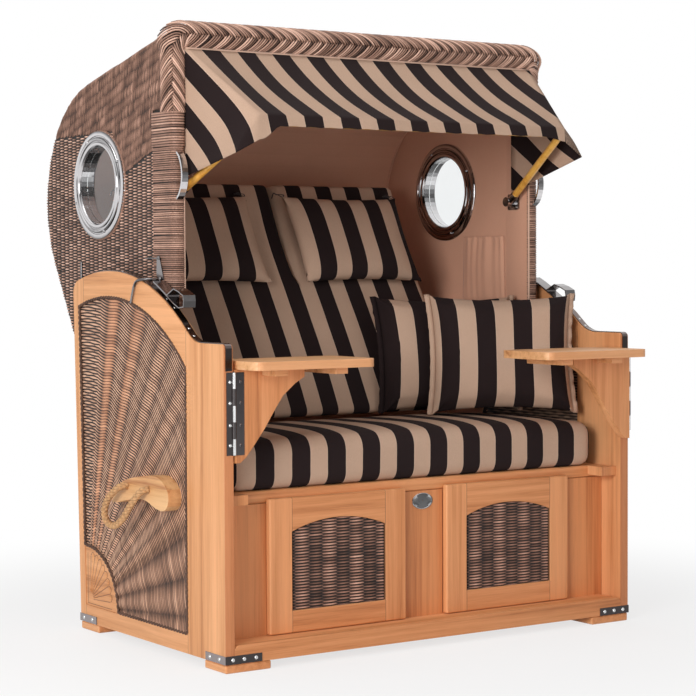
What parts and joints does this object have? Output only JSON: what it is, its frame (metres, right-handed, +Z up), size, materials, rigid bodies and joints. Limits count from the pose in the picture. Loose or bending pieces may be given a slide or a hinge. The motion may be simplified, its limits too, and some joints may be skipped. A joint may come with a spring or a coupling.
{
  "type": "hooded beach chair",
  "caption": "Two-seat wicker beach chair with a tilting hood, folding awning, portholes, pull-out footrests and swinging side tables on a wooden base.",
  "frame": {"origin": "on the floor, under the middle of the chair's box, the rope loops left out", "axes": "+X to the right of someone looking at the chair's front, -Y the way the seat faces, +Z up"},
  "size_m": [1.4452, 1.1964, 1.61],
  "materials": {
    "teak": "oiled teak",
    "wicker": "woven strands, grey-brown",
    "stripe": "woven cloth, beige and dark stripes",
    "lining": "plain woven cloth",
    "steel": "polished",
    "glass": "clear",
    "rope": "twisted rope",
    "arm_wood": "varnished"
  },
  "bodies": {
    "base": {"left_side_frame": "teak", "right_side_frame": "teak", "left_wicker_panel": "wicker", "right_wicker_panel": "wicker", "left_fan_corner": "teak", "right_fan_corner": "teak", "left_carry_block": "teak", "right_carry_block": "teak", "left_carry_rope": "rope", "right_carry_rope": "rope", "left_arm_rail": "steel", "right_arm_rail": "steel", "front_left_foot": "teak", "front_right_foot": "teak", "rear_left_foot": "teak", "rear_right_foot": "teak", "front_left_corner_plate": "steel", "front_right_corner_plate": "steel", "rear_left_corner_plate": "steel", "rear_right_corner_plate": "steel", "front_sill": "teak", "front_panel": "teak", "seat_rail": "teak", "seat_deck": "teak", "base_floor": "teak", "back_panel": "teak", "seat_cushion": "stripe", "front_throw_pillow": "stripe", "back_throw_pillow": "stripe", "left_hinge_leaf": "steel", "right_hinge_leaf": "steel"},
    "hood": {"hood_shell": "wicker", "hood_lining": "lining", "hood_front_frame": "wicker", "left_porthole_ring": "steel", "right_porthole_ring": "steel", "left_porthole_glass": "glass", "right_porthole_glass": "glass", "left_grab_handle": "steel", "right_grab_handle": "steel", "back_board": "lining", "back_cushion": "stripe", "left_neck_pillow": "stripe", "right_neck_pillow": "stripe", "left_pivot_arm": "steel", "right_pivot_arm": "steel", "awning_cloth": "stripe"},
    "left_latch": {"left_latch_loop": "steel"},
    "right_latch": {"right_latch_loop": "steel"},
    "awning": {"awning_frame": "arm_wood"},
    "left_table": {"left_table_top": "teak", "left_table_bracket": "teak"},
    "right_table": {"right_table_top": "teak", "right_table_bracket": "teak"},
    "left_footrest": {"left_footrest_front": "teak", "left_footrest_wicker": "wicker", "left_footrest_box": "teak"},
    "right_footrest": {"right_footrest_front": "teak", "right_footrest_wicker": "wicker", "right_footrest_box": "teak"}
  },
  "joints": [
    {"name": "hood_tilt", "type": "hinge", "parent": "base", "child": "hood", "pos_m": [0, 0.12021, 0.33], "axis": [-1, 0, 0], "range_deg": [0, 40]},
    {"name": "left_latch_lift", "type": "hinge", "parent": "hood", "child": "left_latch", "pos_m": [-0.6, -0.10779, 0.93], "axis": [-1, 0, 0], "range_deg": [0, 35]},
    {"name": "right_latch_lift", "type": "hinge", "parent": "hood", "child": "right_latch", "pos_m": [0.6, -0.10779, 0.93], "axis": [-1, 0, 0], "range_deg": [0, 35]},
    {"name": "awning_swing", "type": "hinge", "parent": "hood", "child": "awning", "pos_m": [0, -0.07979, 1.175], "axis": [-1, 0, 0], "range_deg": [0, 58], "deforming": ["awning_cloth"]},
    {"name": "left_table_swing", "type": "hinge", "parent": "base", "child": "left_table", "pos_m": [-0.624, -0.48409, 0.762], "axis": [0, 0, -1], "range_deg": [0, 112]},
    {"name": "right_table_swing", "type": "hinge", "parent": "base", "child": "right_table", "pos_m": [0.65, -0.48409, 0.762], "axis": [0, 0, 1], "range_deg": [0, 180]},
    {"name": "left_footrest_slide", "type": "slide", "parent": "base", "child": "left_footrest", "axis": [0, -1, 0], "range_m": [0, 0.4]},
    {"name": "right_footrest_slide", "type": "slide", "parent": "base", "child": "right_footrest", "axis": [0, -1, 0], "range_m": [0, 0.4]}
  ]
}
